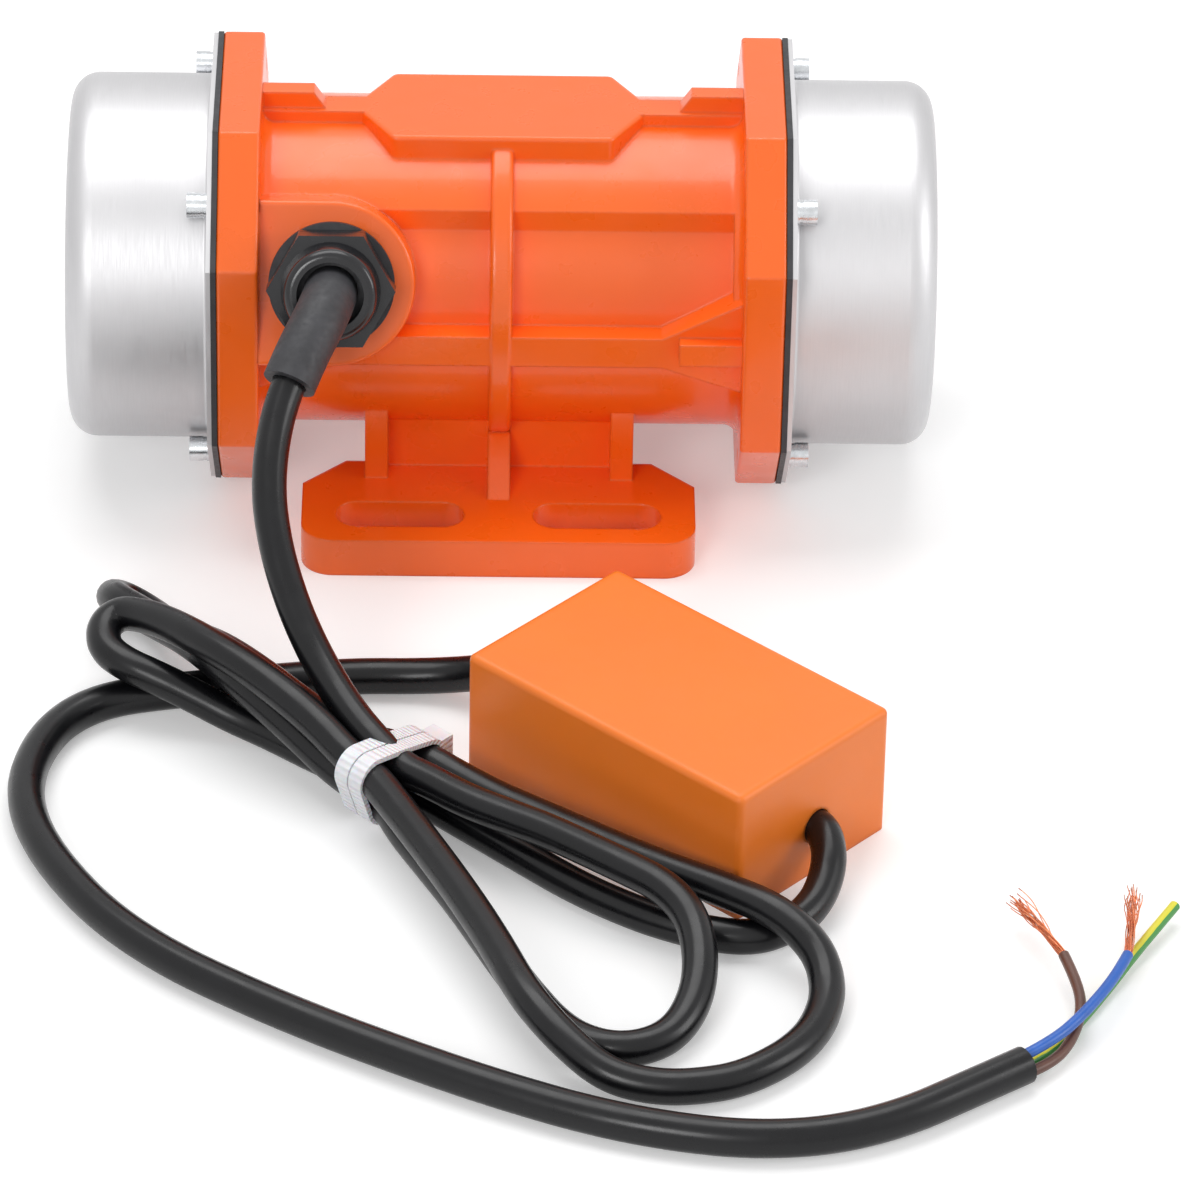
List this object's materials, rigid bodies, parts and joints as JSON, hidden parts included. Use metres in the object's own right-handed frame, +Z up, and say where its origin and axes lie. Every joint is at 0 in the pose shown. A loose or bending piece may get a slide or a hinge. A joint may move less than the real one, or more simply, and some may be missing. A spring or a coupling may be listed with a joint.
{
  "type": "vibration motor",
  "caption": "Foot-mounted vibration motor with eccentric weights under drawn steel end covers, a cable gland, a tied lead, an in-line control box and a supply lead with bare cores.",
  "frame": {"origin": "centre of the foot's underside, on the floor, midway between the slots", "axes": "+X along the shaft, to the right as seen from the gland's side; +Y from the gland's side to the far side; +Z up, from the foot to the shaft"},
  "size_m": [0.2418, 0.3177, 0.0925],
  "materials": {
    "aluminium": "die-cast aluminium",
    "bearing_steel": "polished bearing steel",
    "black_jacket": "semi-gloss black jacket",
    "black_nylon": "glossy black nylon",
    "black_rubber": "black rubber",
    "blue_core": "blue insulation",
    "brown_core": "brown insulation",
    "cast_weight": "plain cast iron",
    "copper": "bare copper",
    "cover_steel": "satin drawn stainless steel",
    "dark_steel": "oiled spring steel",
    "earth_core": "green and yellow insulation",
    "grey_plastic": "light grey plastic",
    "lamination": "stacked laminations",
    "machined_steel": "ground steel",
    "orange_paint": "glossy orange enamel",
    "orange_plastic": "semi-gloss orange plastic",
    "white_nylon": "translucent white nylon",
    "winding_copper": "varnished copper wire",
    "zinc_steel": "bright zinc-plated steel"
  },
  "bodies": {
    "casing": {"blue_copper_strands": "copper", "blue_core": "blue_core", "box_screws": "zinc_steel", "brown_copper_strands": "copper", "brown_core": "brown_core", "cable_tie": "white_nylon", "control_box_base": "orange_plastic", "control_box_shell": "orange_plastic", "cover_flat_washers": "zinc_steel", "cover_screws": "zinc_steel", "cover_spring_washers": "zinc_steel", "earth_core": "earth_core", "gland_body": "black_nylon", "gland_dome_nut": "black_nylon", "gland_seal": "black_rubber", "gland_sealing_washer": "black_rubber", "lead_clamps": "grey_plastic", "lead_hank": "black_jacket", "lead_to_box": "black_jacket", "left_bearing_outer_ring": "bearing_steel", "left_cover": "cover_steel", "left_cover_gasket": "black_rubber", "left_end_shield": "aluminium", "motor_casing": "orange_paint", "motor_lead": "black_jacket", "right_bearing_outer_ring": "bearing_steel", "right_cover": "cover_steel", "right_cover_gasket": "black_rubber", "right_end_shield": "aluminium", "run_capacitor": "grey_plastic", "shield_screws": "zinc_steel", "stator_core": "lamination", "stator_windings": "winding_copper", "strain_relief_sleeve": "black_rubber", "supply_lead": "black_jacket", "terminal_block": "grey_plastic"},
    "rotor": {"bearing_circlips": "dark_steel", "left_bearing_inner_ring": "bearing_steel", "left_fixed_weight": "cast_weight", "right_bearing_inner_ring": "bearing_steel", "right_fixed_weight": "cast_weight", "rotor_core": "lamination", "rotor_end_rings": "aluminium", "shaft": "machined_steel", "shaft_end_circlips": "dark_steel", "weight_keys": "dark_steel"},
    "left_ball_set": {"left_bearing_balls": "bearing_steel", "left_bearing_cage": "dark_steel"},
    "right_ball_set": {"right_bearing_balls": "bearing_steel", "right_bearing_cage": "dark_steel"},
    "left_swing_weight": {"left_adjustable_weight": "cast_weight", "left_clamp_bolt": "dark_steel"},
    "right_swing_weight": {"right_adjustable_weight": "cast_weight", "right_clamp_bolt": "dark_steel"}
  },
  "joints": [
    {"name": "rotor_spin", "type": "hinge", "parent": "casing", "child": "rotor", "pos_m": [0, 0, 0.0485], "axis": [1, 0, 0], "continuous": true},
    {"name": "left_ball_spin", "type": "hinge", "parent": "casing", "child": "left_ball_set", "pos_m": [-0.0517, 0, 0.0485], "axis": [1, 0, 0], "continuous": true},
    {"name": "right_ball_spin", "type": "hinge", "parent": "casing", "child": "right_ball_set", "pos_m": [0.0517, 0, 0.0485], "axis": [1, 0, 0], "continuous": true},
    {"name": "left_weight_setting", "type": "hinge", "parent": "rotor", "child": "left_swing_weight", "pos_m": [-0.0765, 0, 0.0485], "axis": [1, 0, 0], "range_deg": [0, 180]},
    {"name": "right_weight_setting", "type": "hinge", "parent": "rotor", "child": "right_swing_weight", "pos_m": [0.0765, 0, 0.0485], "axis": [1, 0, 0], "range_deg": [0, 180]}
  ],
  "couplings": [
    {"joint": "left_ball_spin", "follows": "rotor_spin", "ratio": 0.38},
    {"joint": "right_ball_spin", "follows": "rotor_spin", "ratio": 0.38}
  ]
}
